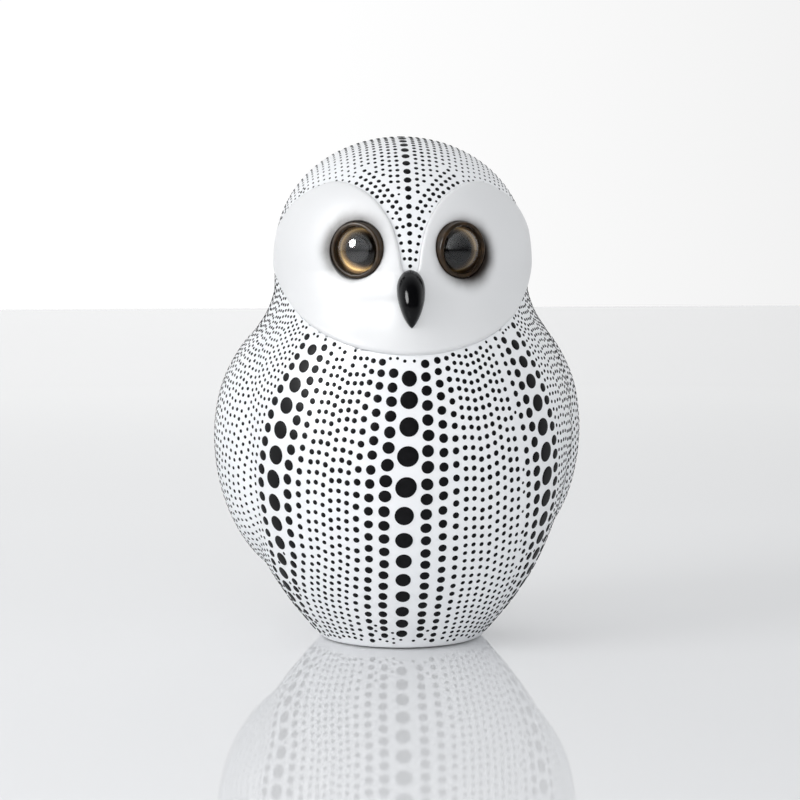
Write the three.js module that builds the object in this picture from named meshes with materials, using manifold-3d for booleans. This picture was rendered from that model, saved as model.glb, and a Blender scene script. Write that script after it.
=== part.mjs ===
// Dotted owl figurine: a hollow cast body with a heart-shaped face mask set into it,
// two glass eyes, a beak, and a closed, padded base.
// Millimetres, +Z up. The origin is the centre of the base; the owl looks along -Y.
import * as THREE from "three";
import { mergeVertices } from "three/addons/utils/BufferGeometryUtils.js";
import Module from "manifold-3d";

const wasm = await Module();
wasm.setup();

// ---------------------------------------------------------------- driving dimensions

const CLEARANCE = 0.3; // between any two pieces that touch
const HEIGHT = 200; // table to crown
const WIDTH = 136.4; // across the body, without the wings
const DEPTH_FRONT = 73; // axis to the fullest point of the chest
const DEPTH_BACK = 67; // axis to the fullest point of the back
const WALL = 7; // thickness of the cast body
const FLOOR = 6.5; // thickness of the casting over the base recess

const WING_HEIGHT = 7; // how far a folded wing stands off the body
const WING_HALF_WIDTH = 37; // along the skin, from the spine of the wing to its edge
const WING_REACH_UP = 62; // from its fullest point to the shoulder
const WING_REACH_DOWN = 37; // from its fullest point to the tip
const WING_LEVEL = 0.315; // its fullest point, as a share of the height
const WING_LEAN = 0.22; // how far the tip trails back for each millimetre down
const WING_TAPER = 0.4; // how much narrower it is at the tip
const WING_CROWN = 0.85; // 1 is a parabola across the wing, less is fuller
const WING_AZIMUTH_RIGHT = -97; // degrees round from the beak, to the owl's right wing
const WING_AZIMUTH_LEFT = 116;

const RIDGE_HEIGHT = 3.4; // the ridge that runs down the brow to the beak
const RIDGE_WIDTH = 10;
const RIDGE_LEVEL = 0.705; // as a share of the height
const RIDGE_REACH = 32; // above and below that level

const MASK_SEAT = 2; // how deep the mask is let into the head
const MASK_RIM = 2.2; // how far its rim stands proud
const MASK_SIDE = 11; // its rim ends this far in front of the head's middle plane
const MASK_DISH = 1.5; // depth of the hollow round each eye
const MASK_DISH_RADIUS = 18;

const EYE_DIAMETER = 21.6; // over the rim
const EYE_SPACING = 40.6; // centre to centre
const EYE_LEVEL = 0.7925; // as a share of the height
const EYE_TURN = 33; // degrees that each eye looks outwards
const EYE_RIM_WALL = 1.5;
const EYE_RIM_PROUD = 0.9; // over the face
const EYE_RIM_ROUND = 0.5;
const EYE_DEPTH = 5; // of the socket, under the face
const LENS_RISE = 4.2; // dome of the glass over its own edge
const LENS_EDGE = 1.6;
const IRIS_THICKNESS = 1.6;
const IRIS_DISH = 0.6; // how far its middle lies behind its edge
const PUPIL_DIAMETER = 8;
const PUPIL_THICKNESS = 0.5;

const BEAK_LENGTH = 21.5;
const BEAK_WIDTH = 10.8;
const BEAK_RISE = 8; // out of the face
const BEAK_SEAT = 2.6; // into the face
const BEAK_TOP = 0.7575; // its upper end, as a share of the height
const BEAK_WIDEST = 0.34; // share of its length from the top
const BEAK_FULLEST = 0.38;
const BEAK_POINT = 0.72; // 1 is a cosine down to the tip, less is blunter

const FOOT_RIM = 3.5; // width of the rim that the casting keeps round the pad
const PAD_THICKNESS = 1.8;
const PAD_PROUD = 0.6; // below the rim of the foot
const POUR_HOLE_DIAMETER = 26;
const PLUG_FLANGE_DIAMETER = 32;
const PLUG_FLANGE_THICKNESS = 1.2;
const PLUG_LIP = 0.8; // how far the lip grips over the hole
const PLUG_LIP_THICKNESS = 1;

const SKIN_SEGMENTS = 56; // facets round the castings
const BODY_RINGS = 18;
const DOME_RINGS = 9;
const CAVITY_SEGMENTS = 28;
const CAVITY_RINGS = 12;
const EYE_SEGMENTS = 28;
const LENS_RINGS = 5;

// ---------------------------------------------------------------- the form of the owl

const HEAD_LEVEL = 0.75; // where the dome of the head begins, as a share of the height
const DOME_SQUARENESS = 2.3; // 2 is an ellipse

// Shares of the height, the half width, the front depth and the back depth, foot to head.
const STATIONS = [
  [0.0, 0.474, 0.445, 0.484],
  [0.03, 0.549, 0.52, 0.557],
  [0.075, 0.655, 0.628, 0.663],
  [0.135, 0.771, 0.745, 0.775],
  [0.2, 0.861, 0.847, 0.864],
  [0.275, 0.933, 0.937, 0.938],
  [0.35, 0.982, 0.986, 0.984],
  [0.425, 1.0, 1.0, 1.0],
  [0.5, 0.981, 0.98, 0.973],
  [0.56, 0.928, 0.945, 0.921],
  [0.61, 0.859, 0.897, 0.861],
  [0.65, 0.785, 0.849, 0.808],
  [0.69, 0.741, 0.804, 0.777],
  [0.72, 0.735, 0.768, 0.768],
  [HEAD_LEVEL, 0.736, 0.745, 0.766],
];

const degrees = THREE.MathUtils.degToRad;
const outline = (index) => new THREE.SplineCurve(
  STATIONS.map((row) => new THREE.Vector2(row[0], row[index])),
);
const SIDE_LINE = outline(1);
const FRONT_LINE = outline(2);
const BACK_LINE = outline(3);
const BODY_HEIGHT = HEIGHT - PAD_PROUD;
const EYE_HEIGHT = EYE_LEVEL * HEIGHT;

// One level of the figure: its height, half width, front and back depth, and the lean of
// its surface as a step out and a step up along the normal.
function bodyLevel(share) {
  const side = SIDE_LINE.getPoint(share);
  const tangent = SIDE_LINE.getTangent(share);
  return {
    z: PAD_PROUD + side.x * BODY_HEIGHT,
    halfWidth: side.y * WIDTH / 2,
    front: FRONT_LINE.getPoint(share).y * DEPTH_FRONT,
    back: BACK_LINE.getPoint(share).y * DEPTH_BACK,
    out: tangent.x * BODY_HEIGHT,
    up: -tangent.y * WIDTH / 2,
  };
}

// A level of the head's dome, by its angle from the widest level up to the crown.
function domeLevel(angle) {
  const base = bodyLevel(1);
  const share = Math.sin(angle) ** (2 / DOME_SQUARENESS);
  const domeHeight = HEIGHT - base.z;
  return {
    z: base.z + share * domeHeight,
    halfWidth: base.halfWidth * Math.cos(angle),
    front: base.front * Math.cos(angle),
    back: base.back * Math.cos(angle),
    out: 2 * Math.cos(angle) / base.halfWidth,
    up: DOME_SQUARENESS * share ** (DOME_SQUARENESS - 1) / domeHeight,
  };
}

function figureLevels(bodyRings, domeRings) {
  const body = Array.from({ length: bodyRings }, (_, i) => bodyLevel(i / bodyRings));
  const dome = Array.from({ length: domeRings }, (_, i) => domeLevel(Math.PI / 2 * i / domeRings));
  return [...body, ...dome];
}

// The level at a height: by formula on the dome, by halving on the body.
function levelAt(z) {
  const base = bodyLevel(1);
  if (z > base.z) {
    const share = (z - base.z) / (HEIGHT - base.z);
    return domeLevel(Math.asin(share ** (DOME_SQUARENESS / 2)));
  }
  let low = 0;
  let high = 1;
  for (let i = 0; i < 20; i += 1) {
    const middle = (low + high) / 2;
    if (bodyLevel(middle).z < z) low = middle;
    else high = middle;
  }
  return bodyLevel(low);
}

// A point of the plain figure; azimuth 0 faces the beak and grows towards +X.
function figurePoint(level, azimuth) {
  const depth = Math.cos(azimuth) > 0 ? level.front : level.back;
  return new THREE.Vector3(level.halfWidth * Math.sin(azimuth), -depth * Math.cos(azimuth), level.z);
}

// The same point moved out along the surface's normal.
function raisedPoint(level, azimuth, rise) {
  const depth = Math.cos(azimuth) > 0 ? level.front : level.back;
  const round = new THREE.Vector2(depth * Math.sin(azimuth), -level.halfWidth * Math.cos(azimuth));
  round.normalize().multiplyScalar(level.out);
  const normal = new THREE.Vector3(round.x, round.y, level.up).normalize();
  const point = figurePoint(level, azimuth);
  return point.clone().addScaledVector(normal, rise(point, azimuth, level));
}

// Height of a folded wing over the plain figure: a teardrop whose tip trails back.
function wingRise(point, azimuth, level) {
  const middle = degrees(azimuth < 0 ? WING_AZIMUTH_RIGHT : WING_AZIMUTH_LEFT);
  const down = WING_LEVEL * HEIGHT - level.z;
  const along = down / (down > 0 ? WING_REACH_DOWN : WING_REACH_UP);
  const back = (Math.abs(azimuth) - Math.abs(middle)) * level.halfWidth;
  const halfWidth = WING_HALF_WIDTH * (1 - WING_TAPER * Math.max(along, 0) ** 2);
  const across = (back - WING_LEAN * down) / halfWidth;
  const inside = 1 - across ** 2 - along ** 2;
  return inside > 0 ? WING_HEIGHT * inside ** WING_CROWN : 0;
}

// The ridge that runs down the brow to the beak.
function ridgeRise(point) {
  const along = (point.z - RIDGE_LEVEL * HEIGHT) / RIDGE_REACH;
  if (Math.abs(along) > 1 || point.y > 0) return 0;
  return RIDGE_HEIGHT * (1 - along ** 2) ** 2 * Math.exp(-((point.x / RIDGE_WIDTH) ** 2));
}

// The hollow round the nearer eye.
function dishDepth(point) {
  const fromEye = Math.hypot(Math.abs(point.x) - EYE_SPACING / 2, point.z - EYE_HEIGHT);
  return MASK_DISH * Math.exp(-((fromEye / MASK_DISH_RADIUS) ** 2));
}

const skinRise = (point, azimuth, level) => wingRise(point, azimuth, level) + ridgeRise(point);
const faceRise = (point) => ridgeRise(point) + MASK_RIM - dishDepth(point);
const maskBackRise = (point) => ridgeRise(point) - MASK_SEAT;
const maskBedRise = (point) => ridgeRise(point) - MASK_SEAT - CLEARANCE;
const cavityRise = () => -WALL;

// A closed form of the figure: a lathe of rings, each ring drawn out to its own section.
function figureForm(bodyRings, domeRings, segments, rise) {
  const rings = figureLevels(bodyRings, domeRings);
  const foot = new THREE.Vector2(0, rings[0].z);
  const crown = new THREE.Vector2(0, HEIGHT);
  const profile = [foot, ...rings.map((level) => new THREE.Vector2(1, level.z)), crown];
  const form = new THREE.LatheGeometry(profile, segments).rotateX(Math.PI / 2);
  const position = form.getAttribute("position");
  for (let i = 0; i < position.count; i += 1) {
    const ring = i % profile.length;
    const turn = 2 * Math.PI * Math.floor(i / profile.length) / segments;
    const azimuth = turn > Math.PI ? turn - 2 * Math.PI : turn;
    const level = ring > rings.length ? domeLevel(Math.PI / 2) : rings[Math.max(ring - 1, 0)];
    const point = raisedPoint(level, azimuth, rise);
    if (ring === 0) point.set(0, 0, point.z);
    position.setXYZ(i, point.x, point.y, point.z);
  }
  return form;
}

// ---------------------------------------------------------------- solids

function solid(geometry) {
  const bare = geometry.clone();
  bare.deleteAttribute("normal");
  bare.deleteAttribute("uv");
  const merged = mergeVertices(bare, 1e-3);
  return new wasm.Manifold(new wasm.Mesh({
    numProp: 3,
    vertProperties: new Float32Array(merged.getAttribute("position").array),
    triVerts: new Uint32Array(merged.index.array),
  }));
}

function geometryOf(manifold) {
  const mesh = manifold.getMesh();
  const geometry = new THREE.BufferGeometry();
  geometry.setAttribute("position", new THREE.BufferAttribute(mesh.vertProperties, 3));
  geometry.setIndex(new THREE.BufferAttribute(mesh.triVerts, 1));
  geometry.computeVertexNormals();
  return geometry;
}

// A turned solid about +Z from a list of [radius, height] corners that goes up the outside.
function turned(corners, segments = 48) {
  const profile = corners.map(([radius, height]) => new THREE.Vector2(radius, height));
  return new THREE.LatheGeometry(profile, segments).rotateX(Math.PI / 2);
}

function disc(radius, from, to, segments = 48) {
  return turned([[0, from], [radius, from], [radius, to], [0, to]], segments);
}

function part(name, geometry, material) {
  const mesh = new THREE.Mesh(geometry, material);
  mesh.name = name;
  return mesh;
}

const finish = (color, roughness, metalness = 0) => new THREE.MeshStandardMaterial({
  color, roughness, metalness,
});
const WHITE_LACQUER = finish(0xf2f3f4, 0.35);
const FACE_LACQUER = finish(0xf6f6f6, 0.4);
const BLACK_GLOSS = finish(0x0b0b0d, 0.12);
const DARK_RIM = finish(0x1a120b, 0.3);
const BRONZE_IRIS = finish(0x6b4d22, 0.3, 0.8);
const CLEAR_GLASS = finish(0xdfe6ea, 0.03);
const GREY_RUBBER = finish(0x4a4a4c, 0.8);
const PAD_FOAM = finish(0x202022, 0.95);

// ---------------------------------------------------------------- the outline of the face

// Right half of the heart, seen from the front: chin, cheek, brow, then down beside the
// ridge to the beak. Each point is a share of the head's half width and of the height.
const HEART = [
  [0, 0.5965],
  [0.398, 0.609],
  [0.717, 0.6375],
  [0.916, 0.6825],
  [1.026, 0.75],
  [1.004, 0.815],
  [0.876, 0.8725],
  [0.677, 0.908],
  [0.498, 0.916],
  [0.292, 0.8925],
  [0.151, 0.8475],
  [0.088, 0.8],
  [0.0635, 0.765],
  [0.05, 0.7545],
  [0, 0.74],
];
const HEART_STEPS = 72;

function heartShape(grow) {
  const headHalf = bodyLevel(1).halfWidth;
  const right = HEART.map(([x, z]) => new THREE.Vector2(x * headHalf, z * HEIGHT));
  const left = right.slice(1).map((point) => new THREE.Vector2(-point.x, point.y)).reverse();
  const loop = new THREE.SplineCurve([...left, ...right]).getSpacedPoints(HEART_STEPS).slice(1);
  return new THREE.Shape(loop.map((point, i) => {
    const before = loop[(i + loop.length - 1) % loop.length];
    const after = loop[(i + 1) % loop.length];
    const along = after.clone().sub(before).normalize();
    return new THREE.Vector2(point.x + along.y * grow, point.y - along.x * grow);
  }));
}

// The heart as a block that reaches from the middle plane out past the chest.
function heartBlock(grow) {
  const reach = DEPTH_FRONT + MASK_RIM + RIDGE_HEIGHT;
  const block = new THREE.ExtrudeGeometry(heartShape(grow), {
    depth: reach, bevelEnabled: false, steps: 1,
  });
  return solid(block.rotateX(Math.PI / 2).translate(0, -MASK_SIDE + grow, 0));
}

// Depth of the face in front of the axis, at a place seen from the front.
function faceDepth(x, z) {
  const level = levelAt(z);
  const depth = level.front * Math.cos(Math.asin(x / level.halfWidth));
  return depth + faceRise(new THREE.Vector3(x, -depth, z));
}

// ---------------------------------------------------------------- the beak

// An almond on the ridge: blunt at the top, drawn to a point below.
function beakForm(grow) {
  const almond = new THREE.SphereGeometry(1, 28, 20).rotateX(Math.PI / 2);
  const position = almond.getAttribute("position");
  for (let i = 0; i < position.count; i += 1) {
    const down = (1 - position.getZ(i)) / 2;
    const point = beakPoint(down, position.getX(i), position.getY(i), grow);
    position.setXYZ(i, point.x, point.y, point.z);
  }
  return almond;
}

// A point of the beak by its share of the way down and its place in the round section.
function beakPoint(down, x, y, grow) {
  const radius = Math.hypot(x, y) || 1;
  const swell = almondSwell(down, BEAK_WIDEST, BEAK_POINT);
  const halfWidth = (BEAK_WIDTH / 2 + grow) * swell;
  const front = (BEAK_RISE + grow) * almondSwell(down, BEAK_FULLEST, BEAK_POINT);
  const back = (BEAK_SEAT + grow) * swell;
  const z = BEAK_TOP * HEIGHT + grow - down * (BEAK_LENGTH + 2 * grow);
  return new THREE.Vector3(
    halfWidth * x / radius,
    -faceDepth(0, z) + (y < 0 ? front : back) * y / radius,
    z,
  );
}

// Rises like an ellipse to 1 at its widest, then falls to a point.
function almondSwell(down, widest, point) {
  if (down < widest) return Math.sqrt(1 - ((widest - down) / widest) ** 2);
  return Math.max(0, Math.cos(Math.PI / 2 * (down - widest) / (1 - widest))) ** point;
}

// ---------------------------------------------------------------- the eyes

const EYE_RADIUS = EYE_DIAMETER / 2;
const RIM_BORE = EYE_RADIUS - EYE_RIM_WALL;
const GLASS_RADIUS = RIM_BORE - CLEARANCE;
const EYE_FLOOR = CLEARANCE - EYE_DEPTH;
const PUPIL_BACK = EYE_FLOOR + IRIS_THICKNESS + CLEARANCE;
const LENS_BACK = PUPIL_BACK + PUPIL_THICKNESS + CLEARANCE;

// The frame that carries an eye: its origin on the face, its +Z looking out of the head.
function eyeFrame(side) {
  const frame = new THREE.Group();
  const x = EYE_SPACING / 2;
  frame.position.set(side * x, -faceDepth(x, EYE_HEIGHT), EYE_HEIGHT);
  frame.rotation.set(Math.PI / 2, 0, side * degrees(EYE_TURN), "ZXY");
  frame.updateMatrixWorld(true);
  return frame;
}

function eyeSocket(side) {
  const bore = disc(EYE_RADIUS + CLEARANCE, -EYE_DEPTH, DEPTH_FRONT);
  return solid(bore.applyMatrix4(eyeFrame(side).matrixWorld));
}

function eyeRim() {
  return turned([
    [RIM_BORE, EYE_FLOOR],
    [EYE_RADIUS, EYE_FLOOR],
    [EYE_RADIUS, EYE_RIM_PROUD - EYE_RIM_ROUND],
    [EYE_RADIUS - EYE_RIM_ROUND, EYE_RIM_PROUD],
    [RIM_BORE, EYE_RIM_PROUD],
    [RIM_BORE, EYE_FLOOR],
  ], EYE_SEGMENTS);
}

// The dished iris plate that lies behind the glass.
function eyeIris() {
  const top = EYE_FLOOR + IRIS_THICKNESS;
  return turned([
    [0, EYE_FLOOR],
    [GLASS_RADIUS, EYE_FLOOR],
    [GLASS_RADIUS, top],
    [PUPIL_DIAMETER / 2, top - IRIS_DISH],
    [0, top - IRIS_DISH],
  ], EYE_SEGMENTS);
}

// A flat-backed glass dome: an arc of a circle over a short straight edge.
function eyeLens() {
  const edge = LENS_BACK + LENS_EDGE;
  const radius = (GLASS_RADIUS ** 2 + LENS_RISE ** 2) / (2 * LENS_RISE);
  const half = Math.asin(GLASS_RADIUS / radius);
  const dome = Array.from({ length: LENS_RINGS + 1 }, (_, i) => {
    const angle = half * (1 - i / LENS_RINGS);
    return [radius * Math.sin(angle), edge + LENS_RISE - radius * (1 - Math.cos(angle))];
  });
  return turned([[0, LENS_BACK], [GLASS_RADIUS, LENS_BACK], ...dome], EYE_SEGMENTS);
}

function eye(side, name) {
  const frame = eyeFrame(side);
  frame.add(
    part(`eye_rim_${name}`, eyeRim(), DARK_RIM),
    part(`eye_iris_${name}`, eyeIris(), BRONZE_IRIS),
    part(`eye_pupil_${name}`, disc(
      PUPIL_DIAMETER / 2, PUPIL_BACK, PUPIL_BACK + PUPIL_THICKNESS, EYE_SEGMENTS,
    ), BLACK_GLOSS),
    part(`eye_lens_${name}`, eyeLens(), CLEAR_GLASS),
  );
  return frame;
}

// ---------------------------------------------------------------- the castings

const RIGHT = -1; // the owl's own right
const LEFT = 1;
const FOOT_LEVEL = bodyLevel(0);
const FOOT_RADIUS = Math.min(FOOT_LEVEL.halfWidth, FOOT_LEVEL.front, FOOT_LEVEL.back);
const RECESS_RADIUS = FOOT_RADIUS - FOOT_RIM;
const RECESS_TOP = PAD_THICKNESS + CLEARANCE; // underside of the casting's floor
const FLOOR_TOP = RECESS_TOP + FLOOR;
const PAST = 10; // how far a cutter runs past what it cuts

const sockets = [RIGHT, LEFT].map(eyeSocket);

function faceMask() {
  const front = solid(figureForm(BODY_RINGS, DOME_RINGS, SKIN_SEGMENTS, faceRise));
  const back = solid(figureForm(BODY_RINGS, DOME_RINGS, SKIN_SEGMENTS, maskBackRise));
  let mask = front.intersect(heartBlock(0)).subtract(back);
  for (const socket of sockets) mask = mask.subtract(socket);
  return geometryOf(mask.subtract(solid(beakForm(CLEARANCE))));
}

function maskBed() {
  const bed = solid(figureForm(BODY_RINGS, DOME_RINGS, SKIN_SEGMENTS, maskBedRise));
  return heartBlock(CLEARANCE).subtract(bed);
}

function cavity() {
  const form = solid(figureForm(CAVITY_RINGS, CAVITY_RINGS / 2, CAVITY_SEGMENTS, cavityRise));
  return form.intersect(solid(disc(WIDTH, FLOOR_TOP, HEIGHT)));
}

function baseCuts() {
  const hole = POUR_HOLE_DIAMETER / 2;
  const flange = PLUG_FLANGE_DIAMETER / 2 + CLEARANCE;
  const flangeTop = RECESS_TOP + PLUG_FLANGE_THICKNESS + CLEARANCE;
  return [
    solid(disc(RECESS_RADIUS, -PAST, RECESS_TOP)),
    solid(disc(flange, -PAST, flangeTop)),
    solid(disc(hole, -PAST, FLOOR_TOP + PAST)),
  ];
}

function bodyShell() {
  let shell = solid(figureForm(BODY_RINGS, DOME_RINGS, SKIN_SEGMENTS, skinRise));
  const cuts = [cavity(), maskBed(), ...sockets, solid(beakForm(CLEARANCE)), ...baseCuts()];
  for (const cut of cuts) shell = shell.subtract(cut);
  return geometryOf(shell);
}

// ---------------------------------------------------------------- the base

// A stopper with a flange below and a lip that grips over the edge of the hole.
function basePlug() {
  const flange = PLUG_FLANGE_DIAMETER / 2;
  const stem = POUR_HOLE_DIAMETER / 2 - CLEARANCE;
  const lipFrom = FLOOR_TOP + CLEARANCE;
  return turned([
    [0, RECESS_TOP],
    [flange, RECESS_TOP],
    [flange, RECESS_TOP + PLUG_FLANGE_THICKNESS],
    [stem, RECESS_TOP + PLUG_FLANGE_THICKNESS],
    [stem, lipFrom],
    [stem + PLUG_LIP, lipFrom],
    [stem, lipFrom + PLUG_LIP_THICKNESS],
    [0, lipFrom + PLUG_LIP_THICKNESS],
  ]);
}

// ---------------------------------------------------------------- the owl

const owl = new THREE.Group();
owl.add(
  part("body_shell", bodyShell(), WHITE_LACQUER),
  part("face_mask", faceMask(), FACE_LACQUER),
  part("beak", beakForm(0), BLACK_GLOSS),
  eye(RIGHT, "right"),
  eye(LEFT, "left"),
  part("base_plug", basePlug(), GREY_RUBBER),
  part("base_pad", disc(RECESS_RADIUS - CLEARANCE, 0, PAD_THICKNESS), PAD_FOAM),
);

export default owl;
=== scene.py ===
# %% [markdown]
# # A dotted owl figurine
# The owl on the table is a hollow casting, lacquered white, with some thousands of black
# enamel drops set on it one by one. Its face is a smooth white mask let into the head, with
# two glass eyes and a black beak. The CAD model gives the true sizes and the frame; this
# lesson models each visible piece again with a finer surface, then gives it its finish.

import itertools
import math
import random

import bpy
import numpy as np
from mathutils import Matrix, Vector
from mathutils.bvhtree import BVHTree


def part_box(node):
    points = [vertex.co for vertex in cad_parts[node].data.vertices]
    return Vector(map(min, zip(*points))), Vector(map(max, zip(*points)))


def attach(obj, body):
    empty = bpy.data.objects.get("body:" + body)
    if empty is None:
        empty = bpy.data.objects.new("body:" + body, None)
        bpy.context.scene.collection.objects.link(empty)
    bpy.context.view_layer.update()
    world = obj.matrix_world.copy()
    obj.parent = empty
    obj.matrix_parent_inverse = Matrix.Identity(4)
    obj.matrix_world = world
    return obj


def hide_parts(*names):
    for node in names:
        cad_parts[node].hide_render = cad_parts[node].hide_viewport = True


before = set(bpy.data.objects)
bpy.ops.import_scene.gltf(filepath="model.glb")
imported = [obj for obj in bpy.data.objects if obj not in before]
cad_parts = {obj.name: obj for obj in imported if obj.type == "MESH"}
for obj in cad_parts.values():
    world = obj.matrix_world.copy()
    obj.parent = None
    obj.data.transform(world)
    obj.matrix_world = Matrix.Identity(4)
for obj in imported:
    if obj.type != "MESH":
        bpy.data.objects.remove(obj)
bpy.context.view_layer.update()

# %% [markdown]
# ## Working by hand, in code
# Everything is modelled in metres, but a figurine is measured in millimetres, so one
# factor turns the one into the other. An edit-mode operator acts on all that is selected,
# so each piece starts with a clean selection.

# %% Helpers for modelling
MM = 0.001
BODY = "root"


def deselect_all():
    if bpy.context.object and bpy.context.object.mode != "OBJECT":
        bpy.ops.object.mode_set(mode="OBJECT")
    bpy.ops.object.select_all(action="DESELECT")


def take(obj):
    deselect_all()
    obj.select_set(True)
    bpy.context.view_layer.objects.active = obj


def named(name):
    obj = bpy.context.object
    obj.name = name
    obj.data.name = name
    return obj


def apply_modifier(obj, kind, **settings):
    take(obj)
    modifier = obj.modifiers.new(kind.lower(), kind)
    for key, value in settings.items():
        setattr(modifier, key, value)
    bpy.ops.object.modifier_apply(modifier=modifier.name)


def edit_all(obj, operator, **settings):
    """Runs an edit-mode operator on the whole of a piece."""
    take(obj)
    bpy.ops.object.mode_set(mode="EDIT")
    bpy.ops.mesh.select_all(action="SELECT")
    operator(**settings)
    bpy.ops.object.mode_set(mode="OBJECT")


def outward(obj):
    edit_all(obj, bpy.ops.mesh.normals_make_consistent, inside=False)


def smooth(obj, angle=40):
    take(obj)
    bpy.ops.object.shade_smooth_by_angle(angle=math.radians(angle))


# %% [markdown]
# ## The form of the owl
# The figure is a stack of rounded sections. Each station gives a level as a share of the
# height, and there the half width, the depth of the chest and the depth of the back, each
# as a share of its largest value. A smooth curve through the stations gives every level
# between them, and above the last one the head closes in a dome.

# %% The stations and the level curve
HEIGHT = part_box("body_shell")[1][2] / MM
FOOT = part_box("body_shell")[0][2] / MM
WIDTH = 136.4
DEPTH_FRONT = 73.0
DEPTH_BACK = 67.0
DOME_SQUARENESS = 2.3
HALVINGS = 22
STATIONS = [
    (0.0, 0.474, 0.445, 0.484),
    (0.03, 0.549, 0.52, 0.557),
    (0.075, 0.655, 0.628, 0.663),
    (0.135, 0.771, 0.745, 0.775),
    (0.2, 0.861, 0.847, 0.864),
    (0.275, 0.933, 0.937, 0.938),
    (0.35, 0.982, 0.986, 0.984),
    (0.425, 1.0, 1.0, 1.0),
    (0.5, 0.981, 0.98, 0.973),
    (0.56, 0.928, 0.945, 0.921),
    (0.61, 0.859, 0.897, 0.861),
    (0.65, 0.785, 0.849, 0.808),
    (0.69, 0.741, 0.804, 0.777),
    (0.72, 0.735, 0.768, 0.768),
    (0.75, 0.736, 0.745, 0.766),
]
SCALE = np.array([HEIGHT - FOOT, WIDTH / 2, DEPTH_FRONT, DEPTH_BACK])
STATION_MM = np.array(STATIONS) * SCALE + np.array([FOOT, 0, 0, 0])
DOME_BASE = STATION_MM[-1]


def spline(points, share):
    """A point of the Catmull-Rom curve through the points, and its direction."""
    last = len(points) - 1
    place = min(max(share, 0.0), 1.0) * last
    i = min(int(place), last - 1)
    t = place - i
    before, start, end = points[max(i - 1, 0)], points[i], points[i + 1]
    after = points[min(i + 2, last)]
    leave, arrive = (end - before) / 2, (after - start) / 2
    a = 2 * start - 2 * end + leave + arrive
    b = -3 * start + 3 * end - 2 * leave - arrive
    return ((a * t + b) * t + leave) * t + start, (3 * a * t + 2 * b) * t + leave


class Level:
    """One section of the figure, with the lean of its surface (a step out, a step up)."""

    def __init__(self, sizes, out, up):
        self.z, self.half_width, self.front, self.back = sizes
        self.out, self.up = out, up


def body_level(share):
    sizes, slope = spline(STATION_MM, share)
    return Level(sizes, slope[0], -slope[1])


def dome_level(angle):
    z, half_width, front, back = DOME_BASE
    rise = math.sin(angle) ** (2 / DOME_SQUARENESS)
    shrink = math.cos(angle)
    sizes = (z + rise * (HEIGHT - z), half_width * shrink, front * shrink, back * shrink)
    up = DOME_SQUARENESS * rise ** (DOME_SQUARENESS - 1) / (HEIGHT - z)
    return Level(sizes, 2 * shrink / half_width, up)


def level_at(z):
    """The level at a height: by formula on the dome, by halving below it."""
    if z > DOME_BASE[0]:
        share = min(1.0, (z - DOME_BASE[0]) / (HEIGHT - DOME_BASE[0]))
        return dome_level(math.asin(share ** (DOME_SQUARENESS / 2)))
    low, high = 0.0, 1.0
    for _ in range(HALVINGS):
        middle = (low + high) / 2
        if body_level(middle).z < z:
            low = middle
        else:
            high = middle
    return body_level(low)


def raised(level, azimuth, rise):
    """The figure's point at an azimuth (0 faces the beak), moved out along its normal."""
    sine, cosine = math.sin(azimuth), math.cos(azimuth)
    depth = level.front if cosine > 0 else level.back
    point = Vector((level.half_width * sine, -depth * cosine, level.z))
    outwards = Vector((depth * sine, -level.half_width * cosine)).normalized() * level.out
    normal = Vector((*outwards, level.up)).normalized()
    return point + normal * rise(point, azimuth, level)


print("figure:", round(HEIGHT, 1), "mm high, dome from", round(DOME_BASE[0], 1))

# %% [markdown]
# ## Wings, ridge and dishes
# On the real owl the folded wings are low teardrop swellings in the casting, crisp along
# their lower edge and soft at the shoulder. A ridge runs down the brow to the beak, and the
# face is hollowed a little round each eye. Each of these is a small height added along the
# surface's normal, so they blend with any section below them.

# %% Heights over the plain figure
WING_HEIGHT = 7.0
WING_HALF_WIDTH = 37.0
WING_REACH_UP, WING_REACH_DOWN = 62.0, 37.0
WING_LEVEL = 0.315 * HEIGHT
WING_LEAN = 0.22
WING_TAPER = 0.4
WING_CROWN = 0.85
WING_AZIMUTHS = {-1: 97.0, 1: 116.0}
RIDGE_HEIGHT, RIDGE_WIDTH = 3.4, 10.0
RIDGE_LEVEL, RIDGE_REACH = 0.705 * HEIGHT, 32.0
EYE_X, EYE_Z = 20.3, 0.7925 * HEIGHT
DISH_DEPTH, DISH_RADIUS = 1.5, 18.0
FACE_RIM = 2.2


def side_of(azimuth):
    return -1 if azimuth < 0 else 1


def wing_inside(azimuth, level):
    """1 at the wing's fullest point, 0 on its outline, less outside it."""
    middle = math.radians(WING_AZIMUTHS[side_of(azimuth)])
    down = WING_LEVEL - level.z
    along = down / (WING_REACH_DOWN if down > 0 else WING_REACH_UP)
    back = (abs(azimuth) - middle) * level.half_width
    half_width = WING_HALF_WIDTH * (1 - WING_TAPER * max(along, 0) ** 2)
    across = (back - WING_LEAN * down) / half_width
    return 1 - across**2 - along**2


def ridge_rise(point):
    along = (point.z - RIDGE_LEVEL) / RIDGE_REACH
    if abs(along) > 1 or point.y > 0:
        return 0.0
    return RIDGE_HEIGHT * (1 - along**2) ** 2 * math.exp(-((point.x / RIDGE_WIDTH) ** 2))


def skin_rise(point, azimuth, level):
    inside = wing_inside(azimuth, level)
    wing = WING_HEIGHT * inside**WING_CROWN if inside > 0 else 0.0
    return wing + ridge_rise(point)


def face_rise(point, azimuth=0.0, level=None):
    from_eye = math.hypot(abs(point.x) - EYE_X, point.z - EYE_Z)
    dish = DISH_DEPTH * math.exp(-((from_eye / DISH_RADIUS) ** 2))
    return ridge_rise(point) + FACE_RIM - dish


def skin_point(azimuth, z):
    return raised(level_at(z), azimuth, skin_rise)


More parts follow.
